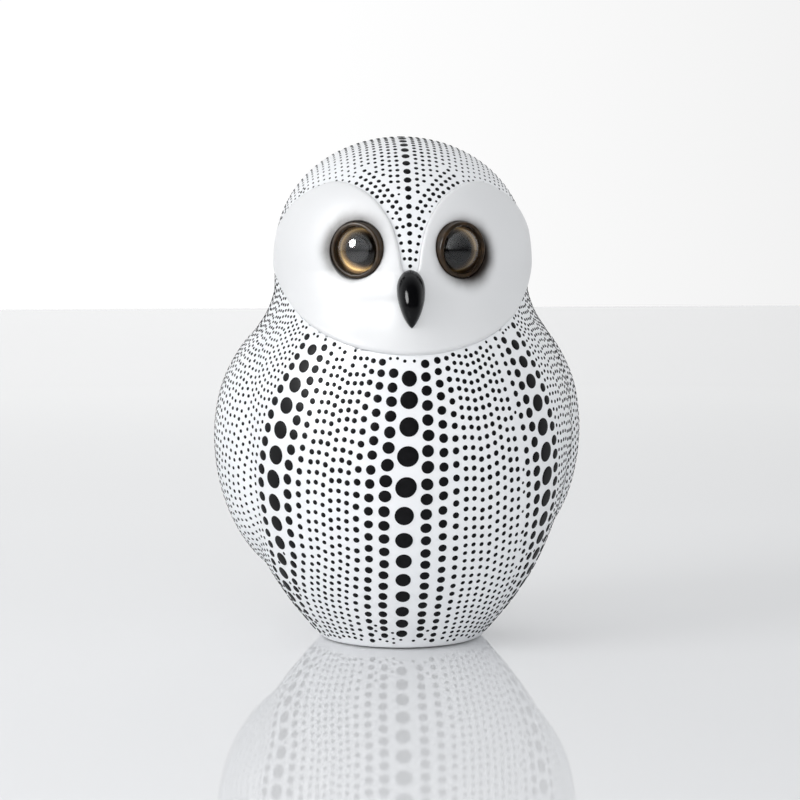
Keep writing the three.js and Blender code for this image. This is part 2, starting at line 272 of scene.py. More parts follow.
def face_depth(x, z):
    """How far the face lies in front of the axis, at a place seen from the front."""
    level = level_at(z)
    depth = level.front * math.cos(math.asin(x / level.half_width))
    return depth + face_rise(Vector((x, -depth, z)))


# %% [markdown]
# ## The body casting
# The body is one hollow casting, about 7 mm thick, open underneath where it was poured and
# drained. A flat grid is bent round into it: the grid's columns become azimuths, and its
# rows run from the crown down the outside, round the foot, through the pour hole and up the
# inside to the crown again. Where its two sides meet, the doubles are merged. A grid keeps
# the quads even, which shows in how cleanly the lacquer shines.

# %% Rows of the casting, from the crown down and round to the inside
SKIN_COLUMNS, BODY_ROWS, DOME_ROWS = 184, 88, 38
CAVITY_STEP = 4
WALL = 7.0
FOOT_ROUND = 0.9
GAP = 0.3
PAD_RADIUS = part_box("base_pad")[1].x / MM
PAD_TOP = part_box("base_pad")[1].z / MM
FLANGE_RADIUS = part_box("base_plug")[1].x / MM
FLANGE_THICKNESS = 1.2
STEM_RADIUS = 12.7
FLOOR_TOP = 8.6


def ring_row(radius, z):
    return lambda azimuth: Vector((radius * math.sin(azimuth), -radius * math.cos(azimuth), z))


def skin_row(level):
    return lambda azimuth: raised(level, azimuth, skin_rise)


def foot_row(angle):
    """A row of the small round between the side of the casting and its foot."""
    inset = FOOT_ROUND * (1 - math.cos(angle))
    up = FOOT_ROUND * (1 - math.sin(angle))

    def place(azimuth):
        point = skin_point(azimuth, FOOT + up)
        shrink = 1 - inset / point.xy.length
        return Vector((point.x * shrink, point.y * shrink, FOOT + up))

    return place


def cavity_row(level):
    def place(azimuth):
        point = raised(level, azimuth, lambda *_: -WALL)
        return Vector((point.x, point.y, max(point.z, FLOOR_TOP)))

    return place


def dome_turn(step):
    return math.pi / 2 * step / DOME_ROWS


body_levels = [body_level(row / BODY_ROWS) for row in range(BODY_ROWS)]
dome_levels = [dome_level(dome_turn(row)) for row in range(DOME_ROWS)]
outside = [level for level in body_levels if level.z > FOOT + FOOT_ROUND] + dome_levels
inside = body_levels[CAVITY_STEP::CAVITY_STEP] + dome_levels[::CAVITY_STEP]
recess_top = PAD_TOP + GAP
flange_top = recess_top + FLANGE_THICKNESS + GAP

casting_rows = [lambda azimuth: Vector((0, 0, HEIGHT))]
casting_rows += [skin_row(level) for level in reversed(outside)]
casting_rows += [foot_row(math.radians(angle)) for angle in (0, 30, 60, 90)]
casting_rows += [ring_row(PAD_RADIUS + GAP, FOOT), ring_row(PAD_RADIUS + GAP, recess_top)]
casting_rows += [ring_row(FLANGE_RADIUS + GAP, recess_top), ring_row(FLANGE_RADIUS + GAP, flange_top)]
casting_rows += [ring_row(STEM_RADIUS + GAP, flange_top), ring_row(STEM_RADIUS + GAP, FLOOR_TOP)]
casting_rows += [cavity_row(level) for level in inside]
casting_rows += [lambda azimuth: Vector((0, 0, HEIGHT - WALL))]


# %% Bend a grid into the casting
DOUBLES = 0.002


def grid(name, columns, rows, place):
    """A grid of quads, each vertex moved to place(column, row), which is in millimetres."""
    deselect_all()
    bpy.ops.mesh.primitive_grid_add(x_subdivisions=columns, y_subdivisions=rows, size=1)
    obj = named(name)
    for vertex in obj.data.vertices:
        column = round((vertex.co.x + 0.5) * columns)
        row = round((vertex.co.y + 0.5) * rows)
        vertex.co = place(column, row) * MM
    edit_all(obj, bpy.ops.mesh.remove_doubles, threshold=DOUBLES * MM)
    return obj


def place_casting(column, row):
    azimuth = 2 * math.pi * (column % SKIN_COLUMNS) / SKIN_COLUMNS
    return casting_rows[row](azimuth - 2 * math.pi if azimuth > math.pi else azimuth)


body = grid("casting_body", SKIN_COLUMNS, len(casting_rows) - 1, place_casting)
outward(body)
skin = BVHTree.FromObject(body, bpy.context.evaluated_depsgraph_get())
print("body casting:", len(body.data.polygons), "faces")

# %% [markdown]
# ## The face mask
# The white face is a separate heart-shaped mask. Its outline is one smooth loop: chin,
# cheek, brow, then down beside the ridge to the beak. Seen in the plane of azimuth and
# height, half the heart is a star round its eye, so a grid fits it: the columns run round
# the eye, and the rows go from the socket out over the face, round the rim, down its edge
# and back behind. Rows set close together at the rim give it its soft, lacquered edge. The
# half is then mirrored, which also closes the seam down the middle.

# %% The outline of the heart
HEART = [
    (0.0, 0.5965),
    (0.398, 0.609),
    (0.717, 0.6375),
    (0.916, 0.6825),
    (1.026, 0.75),
    (1.004, 0.815),
    (0.876, 0.8725),
    (0.677, 0.908),
    (0.498, 0.916),
    (0.292, 0.8925),
    (0.151, 0.8475),
    (0.088, 0.8),
    (0.0635, 0.765),
    (0.05, 0.7545),
    (0.0, 0.74),
]
HEAD_HALF = DOME_BASE[1]
MASK_SIDE = 11.0
HEART_STEPS, OUTLINE_STEPS, MIDLINE_STEPS = 400, 150, 26


def plane_of(x, z):
    """A place seen from the front, as (azimuth times the head's half width, height)."""
    level = level_at(z)
    azimuth = math.asin(min(1.0, x / (level.half_width + FACE_RIM)))
    azimuth = min(azimuth, math.acos(MASK_SIDE / (level.front + FACE_RIM)))
    return Vector((azimuth * HEAD_HALF, z))


def resampled(points, steps):
    """The points again, evenly spaced along their line."""
    points = [Vector(point) for point in points]
    lengths = np.cumsum([0] + [(b - a).length for a, b in zip(points, points[1:])])
    places = np.linspace(0, lengths[-1], steps + 1)
    columns = [np.interp(places, lengths, [point[i] for point in points]) for i in range(2)]
    return [Vector(pair) for pair in zip(*columns)]


right_half = [np.array((x * HEAD_HALF, z * HEIGHT)) for x, z in HEART]
left_end = np.array((-right_half[1][0], right_half[1][1]))
top_end = np.array((-right_half[-2][0], right_half[-2][1]))
looped = [left_end] + right_half + [top_end]
first, last = 1 / (len(looped) - 1), (len(looped) - 2) / (len(looped) - 1)
fine = [spline(looped, share)[0] for share in np.linspace(first, last, HEART_STEPS)]
outline = resampled([plane_of(max(0.0, x), z) for x, z in fine], OUTLINE_STEPS)
outline[0].x = outline[-1].x = 0.0
print("heart: chin", round(outline[0].y, 1), "peak", round(outline[-1].y, 1), "mm up")

# %% The eye frames
EYE_TURN = math.radians(33)
SOCKET_RADIUS = 11.1


def eye_frame(side):
    """The place and turn of an eye: its origin on the face, its Z looking out of the head."""
    place = Matrix.Translation((side * EYE_X, -face_depth(EYE_X, EYE_Z), EYE_Z))
    turn = Matrix.Rotation(side * EYE_TURN, 4, "Z") @ Matrix.Rotation(math.pi / 2, 4, "X")
    return place @ turn


def face_point(place, rise=None, drop=0.0):
    """The face's point over a place in the plane; rise replaces the face's own height."""
    level = level_at(place.y)
    own = face_rise if rise is None else lambda point, *_: ridge_rise(point) + rise
    return raised(level, place.x / HEAD_HALF, lambda *args: own(*args) - drop)


eye_place = Vector((HEAD_HALF * math.asin(EYE_X / HEAD_HALF), EYE_Z))
CORRECTIONS = 7


def socket_place(angle, radius, rise=None):
    """The place in the plane that lies over a point of the socket, as seen down the eye."""
    target = Vector((math.cos(angle), math.sin(angle))) * radius
    into_eye = eye_frame(1).inverted()
    place = eye_place + target
    for _ in range(CORRECTIONS):
        seen = into_eye @ face_point(place, rise)
        place += target - seen.xy
    return place


# %% Columns of the half mask
RIM_ROUND, SOCKET_ROUND, MIDLINE_MARGIN = 1.3, 0.5, 0.8
RIM_INSETS = (1.0, 0.72, 0.46, 0.24, 0.08, 0.0)
MASK_SEAT = 2.0


def inward_normals(points):
    normals = []
    for before, after in zip([points[0]] + points[:-1], points[1:] + [points[-1]]):
        along = (after - before).normalized()
        normals.append(Vector((-along.y, along.x)))
    normals[0], normals[-1] = Vector((0, 1)), Vector((0, -1))
    return normals


middle_from = outline[-1].y - RIM_ROUND - MIDLINE_MARGIN
middle_to = outline[0].y + RIM_ROUND + MIDLINE_MARGIN
midline = [Vector((0, z)) for z in np.linspace(middle_from, middle_to, MIDLINE_STEPS)]
edge = outline + midline
inwards = inward_normals(outline) + [Vector((0, 0))] * len(midline)
angles = [math.atan2(place.y - eye_place.y, place.x - eye_place.x) for place in edge]
socket_inner = [socket_place(angle, SOCKET_RADIUS) for angle in angles]
socket_outer = [socket_place(angle, SOCKET_RADIUS + SOCKET_ROUND) for angle in angles]
socket_back = [socket_place(angle, SOCKET_RADIUS, -MASK_SEAT) for angle in angles]


def edge_distance(place):
    return min((place - point).length for point in outline)


def rounded(distance, radius):
    """How far a quarter round has fallen away at a distance in from its edge."""
    if distance >= radius:
        return 0.0
    return radius - math.sqrt(radius**2 - (radius - distance) ** 2)


# %% Build the mask
FACE_STEPS = 22


def inset_place(column, inset):
    place = edge[column] + inwards[column] * inset
    return Vector((max(0.0, place.x), place.y))


def over_face(column, share):
    """A place between the socket's round and the start of the rim's round."""
    return socket_outer[column].lerp(inset_place(column, RIM_ROUND), share)


def face_row(share):
    return lambda column: face_point(over_face(column, share))


def rim_row(inset):
    def place(column):
        spot = inset_place(column, inset)
        distance = inset if inwards[column].length else edge_distance(spot)
        return face_point(spot, drop=rounded(distance, RIM_ROUND))

    return place


def socket_row(angle):
    """A row of the small round at the socket's mouth, 0 on the face, 90 down the wall."""
    share = 1 - math.sin(math.radians(angle))
    drop = SOCKET_ROUND * (1 - math.cos(math.radians(angle)))

    return lambda column: face_point(
        socket_inner[column].lerp(socket_outer[column], share), drop=drop
    )


def back_row(share, inset=0.0, rise=-MASK_SEAT):
    return lambda column: face_point(
        socket_back[column].lerp(inset_place(column, inset), share), rise
    )


mask_rows = [socket_row(angle) for angle in (90, 60, 30)]
mask_rows += [face_row(share) for share in np.linspace(0, 1, FACE_STEPS)]
mask_rows += [rim_row(inset) for inset in RIM_INSETS]
mask_rows += [back_row(share) for share in (1, 0.66, 0.33, 0)]
mask_rows += [mask_rows[0]]


def half_sheet(name, rows):
    """Rows of places over the half heart, bent from a grid, mirrored into a closed piece."""
    half = grid(name, len(edge), len(rows) - 1, lambda column, row: rows[row](column % len(edge)))
    corners = half.data.vertices
    middle = [all(abs(corners[i].co.x) < 1e-7 for i in face.vertices) for face in half.data.polygons]
    take(half)
    bpy.ops.object.mode_set(mode="EDIT")
    bpy.ops.mesh.select_mode(type="FACE")
    bpy.ops.mesh.select_all(action="DESELECT")
    bpy.ops.object.mode_set(mode="OBJECT")
    for polygon, on_middle in zip(half.data.polygons, middle):
        polygon.select = on_middle
    bpy.ops.object.mode_set(mode="EDIT")
    bpy.ops.mesh.delete(type="FACE")
    bpy.ops.object.mode_set(mode="OBJECT")
    apply_modifier(half, "MIRROR", merge_threshold=0.001 * MM, use_clip=True)
    outward(half)
    return half


mask = half_sheet("casting_face", mask_rows)
mask_tree = BVHTree.FromObject(mask, bpy.context.evaluated_depsgraph_get())
print("face mask:", len(mask.data.polygons), "faces")

# %% [markdown]
# ## The beak
# The beak is a separate black almond set into the mask on the ridge: blunt above, drawn to
# a point below. One curve gives how wide it is on the way down, another how far it stands
# out, so its fullest point can lie lower than its widest.

# %% The almond
BEAK_LENGTH, BEAK_WIDTH, BEAK_RISE, BEAK_SEAT = 21.5, 10.8, 8.0, 2.6
BEAK_TOP = 0.7575 * HEIGHT
BEAK_WIDEST, BEAK_FULLEST, BEAK_POINT = 0.34, 0.38, 0.72
BEAK_SIDES, BEAK_RINGS = 64, 56
SNUG = 0.1


def swell(down, widest):
    if down < widest:
        return math.sqrt(max(0.0, 1 - ((widest - down) / widest) ** 2))
    fall = math.cos(math.pi / 2 * (down - widest) / (1 - widest))
    return max(0.0, fall) ** BEAK_POINT


def beak_point(down, turn, grow):
    half_width = (BEAK_WIDTH / 2 + grow) * swell(down, BEAK_WIDEST)
    depth = (BEAK_SEAT + grow) * swell(down, BEAK_WIDEST)
    if math.sin(turn) < 0:
        depth = (BEAK_RISE + grow) * swell(down, BEAK_FULLEST)
    z = BEAK_TOP + grow - down * (BEAK_LENGTH + 2 * grow)
    return Vector((half_width * math.cos(turn), -face_depth(0, z) + depth * math.sin(turn), z))


def almond(name, grow):
    def place(column, row):
        down = (1 - math.cos(math.pi * row / BEAK_RINGS)) / 2
        return beak_point(down, 2 * math.pi * (column % BEAK_SIDES) / BEAK_SIDES, grow)

    piece = grid(name, BEAK_SIDES, BEAK_RINGS, place)
    outward(piece)
    return piece


beak = almond("beak_horn", 0)
smooth(beak, 60)
print("beak:", len(beak.data.polygons), "faces")

# %% [markdown]
# ## Seating the mask, the eyes and the beak
# On the bench the mask drops into a shallow bed in the head, and drilled sockets take the
# eyes. The bed's cutter is bent from the same rows as the mask, a little larger all round.
# A Boolean modifier takes it, and two drills, out of the casting, and the beak's own shape,
# grown by a hair, out of the mask.

# %% Cut the beds and the sockets
SOCKET_DEPTH = 5.0
CUT_ABOVE = 8.0
HAIR = 0.06


def cut(obj, cutter):
    apply_modifier(
        obj, "BOOLEAN", operation="DIFFERENCE", solver="EXACT", use_self=True, object=cutter
    )
    bpy.data.objects.remove(cutter)


def centre_row(rise):
    return lambda column: face_point(eye_place, rise)


bed_rows = [centre_row(CUT_ABOVE), back_row(1, -HAIR, CUT_ABOVE)]
bed_rows += [back_row(1, -HAIR, -MASK_SEAT - HAIR), centre_row(-MASK_SEAT - HAIR)]
cut(body, half_sheet("mask_bed", bed_rows))
cut(body, almond("beak_seat", SNUG))

height = SOCKET_DEPTH + CUT_ABOVE
for side in (-1, 1):
    deselect_all()
    bpy.ops.mesh.primitive_cylinder_add(
        vertices=128, radius=SOCKET_RADIUS * MM, depth=height * MM,
        location=(0, 0, (height / 2 - SOCKET_DEPTH) * MM),
    )
    drill = named("socket_drill")
    bpy.ops.object.transform_apply(location=True)
    frame_in_metres = eye_frame(side)
    frame_in_metres.translation *= MM
    drill.data.transform(frame_in_metres)
    cut(body, drill)

cut(mask, almond("beak_bed", SNUG))
smooth(body, 35)
smooth(mask, 35)
print("casting:", len(body.data.polygons), "faces, mask:", len(mask.data.polygons))

# %% [markdown]
# ## The eyes
# Each eye is made like a doll's or a taxidermist's: a dark rim ring holds a domed glass,
# and behind the glass lie a black pupil and a dished metal iris. Every piece is turned, so
# one helper bends a grid round the eye's own axis from a list of radii and heights. Round
# corners come from short arcs in that list.

# %% Profiles turned round an axis
EYE_SIDES = 96
RIM_RADIUS, RIM_BORE, RIM_PROUD, RIM_SOFT = 10.8, 9.3, 0.9, 0.45
GLASS_RADIUS = RIM_BORE - GAP
EYE_FLOOR = GAP - SOCKET_DEPTH
IRIS_THICKNESS, IRIS_DISH = 1.6, 1.1
PUPIL_RADIUS, PUPIL_THICKNESS = 4.0, 0.5
LENS_EDGE, LENS_RISE = 1.6, 4.2


def arc(centre, radius, start, end, steps=6):
    """Points [radius, height] on a round, by angle in degrees."""
    turns = np.radians(np.linspace(start, end, steps + 1))
    return [(centre[0] + radius * math.cos(t), centre[1] + radius * math.sin(t)) for t in turns]


def turned(name, profile, sides, matrix):
    """A solid of revolution about the matrix's Z, from a profile of [radius, height]."""

    def place(column, row):
        radius, height = profile[row]
        turn = 2 * math.pi * (column % sides) / sides
        return matrix @ Vector((radius * math.cos(turn), radius * math.sin(turn), height))

    piece = grid(name, sides, len(profile) - 1, place)
    outward(piece)
    return piece


iris_top = EYE_FLOOR + IRIS_THICKNESS
pupil_back = iris_top + GAP
lens_back = pupil_back + PUPIL_THICKNESS + GAP
rim_profile = [(RIM_BORE, EYE_FLOOR), (RIM_RADIUS - 0.2, EYE_FLOOR), (RIM_RADIUS, EYE_FLOOR + 0.2)]
rim_profile += arc((RIM_RADIUS - 0.7, RIM_PROUD - 0.7), 0.7, 0, 90, 8)
rim_profile += arc((RIM_BORE + RIM_SOFT, RIM_PROUD - RIM_SOFT), RIM_SOFT, 90, 180, 6)
rim_profile += [(RIM_BORE, EYE_FLOOR)]
iris_profile = [(0, EYE_FLOOR), (GLASS_RADIUS, EYE_FLOOR), (GLASS_RADIUS, iris_top)]
for share in np.linspace(0.98, 0, 16):
    dish = IRIS_DISH * (1 - share**2)
    iris_profile.append((GLASS_RADIUS * share, iris_top - dish))
pupil_profile = [(0, pupil_back), (PUPIL_RADIUS - 0.1, pupil_back)]
pupil_profile += arc((PUPIL_RADIUS - 0.2, pupil_back + PUPIL_THICKNESS - 0.2), 0.2, 0, 90, 4)
pupil_profile += [(PUPIL_RADIUS * 0.5, pupil_back + PUPIL_THICKNESS), (0, pupil_back + PUPIL_THICKNESS)]
ball = (GLASS_RADIUS**2 + LENS_RISE**2) / (2 * LENS_RISE)
half_angle = math.degrees(math.asin(GLASS_RADIUS / ball))
lens_edge = lens_back + LENS_EDGE
lens_profile = [(0, lens_back), (GLASS_RADIUS * 0.5, lens_back), (GLASS_RADIUS - 0.15, lens_back)]
lens_profile += [(GLASS_RADIUS, lens_back + 0.15)]
lens_profile += arc((0, lens_edge + LENS_RISE - ball), ball, 90 - half_angle, 90, 22)

# %% Turn the pieces of both eyes
eyes = {}
for side, word in ((-1, "right"), (1, "left")):
    at = eye_frame(side)
    eyes[word] = {
        "rim": turned(f"eye_ring_{word}", rim_profile, EYE_SIDES, at),
        "iris": turned(f"eye_plate_{word}", iris_profile, EYE_SIDES, at),
        "pupil": turned(f"eye_disc_{word}", pupil_profile, EYE_SIDES, at),
        "lens": turned(f"eye_glass_{word}", lens_profile, EYE_SIDES, at),
    }
    for piece in eyes[word].values():
        smooth(piece, 35)
    print("eye", word, {kind: len(piece.data.polygons) for kind, piece in eyes[word].items()})

# %% [markdown]
# ## The base
# The hole underneath is closed with a rubber stopper, and a round foam pad is let into the
# foot, so the owl doesn't scratch what it stands on. Both are turned, with softened edges.

# %% Turn the stopper and the pad
upright = Matrix.Identity(4)
stem_top = FLOOR_TOP + GAP
plug_profile = [(0, recess_top), (FLANGE_RADIUS - 0.3, recess_top)]
plug_profile += arc((FLANGE_RADIUS - 0.3, recess_top + 0.3), 0.3, -60, 0, 3)
plug_profile += arc((FLANGE_RADIUS - 0.3, recess_top + FLANGE_THICKNESS - 0.3), 0.3, 0, 90, 4)
plug_profile += [(STEM_RADIUS, recess_top + FLANGE_THICKNESS), (STEM_RADIUS, stem_top)]
plug_profile += arc((STEM_RADIUS + 0.5, stem_top + 0.3), 0.3, -90, 60, 5)
plug_profile += [(STEM_RADIUS - 0.2, stem_top + 1), (0, stem_top + 1)]
plug = turned("base_stopper", plug_profile, 96, upright)
pad_profile = [(0, 0)]
pad_profile += arc((PAD_RADIUS - 0.4, 0.4), 0.4, -90, 0, 4)
pad_profile += arc((PAD_RADIUS - 0.3, PAD_TOP - 0.3), 0.3, 0, 90, 4)
pad_profile += [(0, PAD_TOP)]
pad = turned("base_foam", pad_profile, 96, upright)
smooth(plug, 35)
smooth(pad, 35)
print("base:", len(plug.data.polygons), "and", len(pad.data.polygons), "faces")

# %% [markdown]
# ## The enamel drops
# The pattern is dot painting: thick black enamel set down drop by drop from the tip of a
# stick, so each drop is a low round cushion. The large ones run in columns down the chest,
# the sides and the back, with smaller columns beside them, and fine drops fill the rest. A
# maker sets the large columns first and then works outwards, column by column, leaving out
# a drop where two runs meet. The code does the same. It marches along lines on the skin,
# keeps each drop its gap from the last, and asks a small grid of cells whether the place
# is free.

# %% A register of the drops
random.seed(20)
CELL = 6.0
EDGE_CLEAR, EDGE_CLEAR_LARGE = 0.5, 0.3
EDGE_LARGE_FROM = 4.4
EYE_CLEAR = 1.5
LOWEST_DROP = 2.3
BELOW_CHIN = 6.0
SKIN_OFF, MASK_REACH = 0.02, 9.0


class Drop:
    def __init__(self, point, normal, size):
        self.point, self.normal, self.size = point, normal, size


drops = []
cells = {}


def cell_of(point):
    return tuple(math.floor(value / CELL) for value in point)


def neighbours(point):
    for cell in itertools.product(*[(i - 1, i, i + 1) for i in cell_of(point)]):
        yield from cells.get(cell, ())


into_eyes = [eye_frame(side).inverted() for side in (-1, 1)]


def off_the_mask(point, normal, size):
    if any((into_eye @ point).xy.length < SOCKET_RADIUS + EYE_CLEAR for into_eye in into_eyes):
        return point.y > 0
    if point.y > 0 or point.z < outline[0].y - BELOW_CHIN:
        return True
    distance = mask_tree.find_nearest(point * MM)[3] / MM
    clear = EDGE_CLEAR_LARGE if size > EDGE_LARGE_FROM else EDGE_CLEAR
    if distance < size / 2 + clear:
        return False
    return mask_tree.ray_cast((point + normal * SKIN_OFF) * MM, normal, MASK_REACH * MM)[0] is None


def is_free(point, normal, size, gap):
    if point.z < LOWEST_DROP + size / 2:
        return False
    if any((other.point - point).length < (other.size + size) / 2 + gap for other in neighbours(point)):
        return False
    return off_the_mask(point, normal, size)


def set_drop(point, normal, size):
    drop = Drop(point, normal, size)
    drops.append(drop)
    cells.setdefault(cell_of(point), []).append(drop)


# %% Lines on the skin, and marching along them
LEVEL_STEP = 0.25
LINE_STEP = 0.4
LEVELS = [level_at(z) for z in np.arange(FOOT, HEIGHT, LEVEL_STEP)]
LOOSE_ASIDE, LOOSE_SIZE = 0.6, 0.7


def near_level(z):
    return LEVELS[round((z - FOOT) / LEVEL_STEP)]


def over_skin(azimuth, z):
    turn = (azimuth + math.pi) % (2 * math.pi) - math.pi
    return raised(near_level(z), turn, skin_rise)


def laid_on_skin(places):
    """A line of (point, normal), each the nearest on the skin to a place."""
    found = [skin.find_nearest(place * MM) for place in places]
    return [(location / MM, normal) for location, normal, _, _ in found]


def curve(table):
    """A function of height that runs straight between (height, value) pairs."""
    heights, values = zip(*table)
    return lambda z: float(np.interp(z, heights, values))


def always(value):
    return lambda z: value


def varied(loose):
    return 1 + random.uniform(-loose, loose)


def march(line, start, size, gap, least, loose):
    """Sets drops both ways along a line from a start place, each its own gap on.

    Size and gap are functions of the height, and so is the least gap to any other drop.
    """
    for steps in (range(start, len(line)), range(start - 1, -1, -1)):
        last, last_size, wanted = None, 0.0, 0.0
        if steps and steps.step < 0:
            last, last_size = line[start][0], size(line[start][0].z)
            wanted = gap(last.z) * varied(loose)
        for i in steps:
            point, normal = line[i]
            own = size(point.z)
            if last and (point - last).length < (own + last_size) / 2 + wanted:
                continue
            last, last_size = point, own
            wanted = gap(point.z) * varied(loose)
            aside = Vector([random.uniform(-1, 1) for _ in range(3)]) * own * loose * LOOSE_ASIDE
            spot = laid_on_skin([point + aside])[0][0]
            own *= 1 + random.uniform(-loose, loose) * LOOSE_SIZE
            if is_free(spot, normal, own, least(point.z)):
                set_drop(spot, normal, own)


# %% How the columns gather and shrink
GATHER = {
    -1: curve([(5, 42), (20, 48), (40, 60), (70, 66), (100, 76), (120, 87), (150, 94)]),
    1: curve([(5, 44), (20, 52), (50, 64), (80, 74), (120, 86), (150, 92)]),
}
WANDER = curve([(5, -2), (20, -2.5), (60, -3), (90, -1.5), (118, -1)])
WANDER_REACH = 50.0
SWELL = curve(
    [(2, 0.42), (6, 0.5), (12, 0.58), (20, 0.66), (30, 0.72), (40, 0.76), (50, 0.83), (62, 0.93),
     (72, 1), (80, 0.99), (90, 0.9), (100, 0.84), (110, 0.74), (116, 0.62), (121, 0.57)]
)
CLOSE = curve([(0, 0.66), (12, 0.74), (30, 0.9), (50, 1), (85, 1), (105, 0.88), (120, 0.76), (130, 0.72)])
MAIN_GAP = curve([(6, 1.5), (16, 1.7), (25, 2.3), (50, 2.7), (70, 3.6), (92, 2.6), (102, 1.6), (120, 1.7)])
SIDE_GAP = curve([(6, 1.5), (30, 2.4), (90, 2.6), (120, 2)])
FULLEST = 70.0
FRONT_TOP, BACK_TOP, SIDE_TOP = 132.0, 146.0, 186.0
MAIN_LOOSE, BESIDE_LOOSE = 0.01, 0.03
COLUMN_LEAST = 0.35
START_SHIFT = 3


def column(offset, from_back=False, top=FRONT_TOP):
    """A column's line: an offset in millimetres from the front or the back, at the widest."""
    places = []
    for z in np.arange(LOWEST_DROP, top, LINE_STEP):
        azimuth = offset / GATHER[-1 if offset < 0 else 1](z)
        if from_back:
            azimuth = math.pi - azimuth
        else:
            fade = max(0.0, 1 - abs(offset) / WANDER_REACH)
            azimuth += fade * WANDER(z) / near_level(z).half_width
        places.append(over_skin(azimuth, z))
    return laid_on_skin(places)


def set_column(line, size, power, gap, shift=0.0, loose=MAIN_LOOSE):
    """A column of one nominal size, swelling with the figure by a power of its curve."""
    start = min(range(len(line)), key=lambda i: abs(line[i][0].z - FULLEST - shift))
    march(line, start, lambda z: size * SWELL(z) ** power, gap, always(COLUMN_LEAST), loose)


def set_beside(line, size, power, gap):
    shift = random.uniform(-START_SHIFT, START_SHIFT)
    set_column(line, size, power, lambda z: gap * CLOSE(z), shift, BESIDE_LOOSE)


# %% The large columns, then the ones beside them
# Beside a large column: how far off it, the size, the power of its swelling and the gap.
MAIN_SIZE, SIDE_SIZE = 8.4, 7.7
BESIDE = [(8.1, 4.9, 0.75, 1.3), (14.5, 3.8, 0.65, 1.75), (19.6, 2.75, 0.6, 2.1)]
SIDE_MAINS = {-1: 59.0, 1: 67.0}
SIDE_BESIDE = [(-13.4, 2.7, 0.6, 1.8), (-7.6, 4.4, 0.75, 1.5), (7.8, 4.2, 0.75, 1.6)]
TOPS = {False: FRONT_TOP, True: BACK_TOP}

for from_back, top in TOPS.items():
    set_column(column(0, from_back, top), MAIN_SIZE, 1, MAIN_GAP)
for side, main in SIDE_MAINS.items():
    set_column(column(side * main), SIDE_SIZE, 1, SIDE_GAP)
for from_back, top in TOPS.items():
    for side in (-1, 1):
        for offset, *looks in BESIDE:
            set_beside(column(side * offset, from_back, top), *looks)
for side, main in SIDE_MAINS.items():
    for offset, *looks in SIDE_BESIDE:
        set_beside(column(side * (main + offset)), *looks)
print("large and middling drops:", len(drops))

# %% The line over the crown of the head
HEAD_CENTRE = Vector((0, 0, 145))
CROWN_SIZE = curve([(150, 1.45), (158, 1.7), (166, 2.05), (178, 2.3), (185, 2.9), (200, 3.2)])
CROWN_GAP = curve([(150, 1.2), (165, 1.35), (180, 1.4), (186, 1.9), (200, 2.2)])
BACK_SMALLEST, BACK_GROWTH, BACK_GAP = 2.8, 0.055, 1.8
CAST_FROM, CAST_STEP = 140.0, 0.4
HEAD_LEAST = 0.3


def over_head(offset, start, end):
    """A line over the head beside the middle, by angle up from straight ahead."""
    x = HEAD_HALF * math.sin(offset / HEAD_HALF)
    line = []
    for turn in np.radians(np.arange(start, end, CAST_STEP)):
        out = Vector((0, -math.cos(turn), math.sin(turn)))
        origin = Vector((x, 0, HEAD_CENTRE.z)) + out * CAST_FROM
        location, normal, _, _ = skin.ray_cast(origin * MM, -out)
        if location:
            line.append((location / MM, normal))
    return line


march(over_head(0, 5, 90), 0, CROWN_SIZE, CROWN_GAP, always(HEAD_LEAST), loose=0.03)
march(
    over_head(0, 90, 180), 0, lambda z: BACK_SMALLEST + (200 - z) * BACK_GROWTH,
    always(BACK_GAP), always(HEAD_LEAST), loose=0.02,
)

# %% Rows along the edge of the mask
EDGE_SIZE = curve([(150, 1.3), (163, 1.5), (175, 1.7)])
EDGE_OFFSETS = (1.35, 3.75, 6.2)
EDGE_PITCH, EDGE_LEAST = 2.85, 0.45
EDGE_REACH, EDGE_LOWEST, EDGE_HIGHEST = 27.0, 149.0, 199.5


def edge_row(side, offset):
    places = []
    for place, inward in zip(outline, inwards):
        spot = place - inward * offset
        if 0 < spot.x < EDGE_REACH and spot.y > EDGE_LOWEST:
            places.append(over_skin(side * spot.x / HEAD_HALF, min(spot.y, EDGE_HIGHEST)))
    points = [point for point, _ in laid_on_skin(places)]
    dense = [a.lerp(b, share) for a, b in zip(points, points[1:]) for share in (0, 0.33, 0.66)]
    return laid_on_skin(dense)


def edge_gap(z):
    return EDGE_PITCH - EDGE_SIZE(z)


for offset in EDGE_OFFSETS:
    for side in (-1, 1):
        line = edge_row(side, offset)
        march(line, len(line) - 1, EDGE_SIZE, edge_gap, always(EDGE_LEAST), loose=0.07)

# %% Fine drops over the rest of the head
HEAD_ROWS, HEAD_FIRST, HEAD_STEP, HEAD_PITCH = 20, 3.7, 2.75, 2.9
HEAD_LARGEST, HEAD_SMALLEST, HEAD_SHRINK = 1.65, 0.95, 0.08
FINE_LOOSE = 0.09

for step in range(HEAD_ROWS):
    for side in (-1, 1):
        line = over_head(side * (HEAD_FIRST + step * HEAD_STEP), 8, 178)
        size = max(HEAD_SMALLEST, HEAD_LARGEST - HEAD_SHRINK * step)
        start = random.randrange(5)
        march(line, start, always(size), always(HEAD_PITCH - size), always(0.8), FINE_LOOSE)
print("with the head:", len(drops))

# %% Fine columns over the body
FINE_COLUMNS, FINE_FIRST, FINE_STEP = 9, 23.6, 3.45
OUTER_COLUMNS, OUTER_FIRST, OUTER_STEP = 34, 12.2, 3.2
FINE_SIZE, FINE_PITCH = 2.1, 3.75
WING_SIZE, WING_PITCH = 1.6, 3.2
BACK_SIZE, BACK_FINE_TOP = WING_SIZE + 0.1, 150
FINE_POWER, FINE_LEAST = 0.35, 0.85


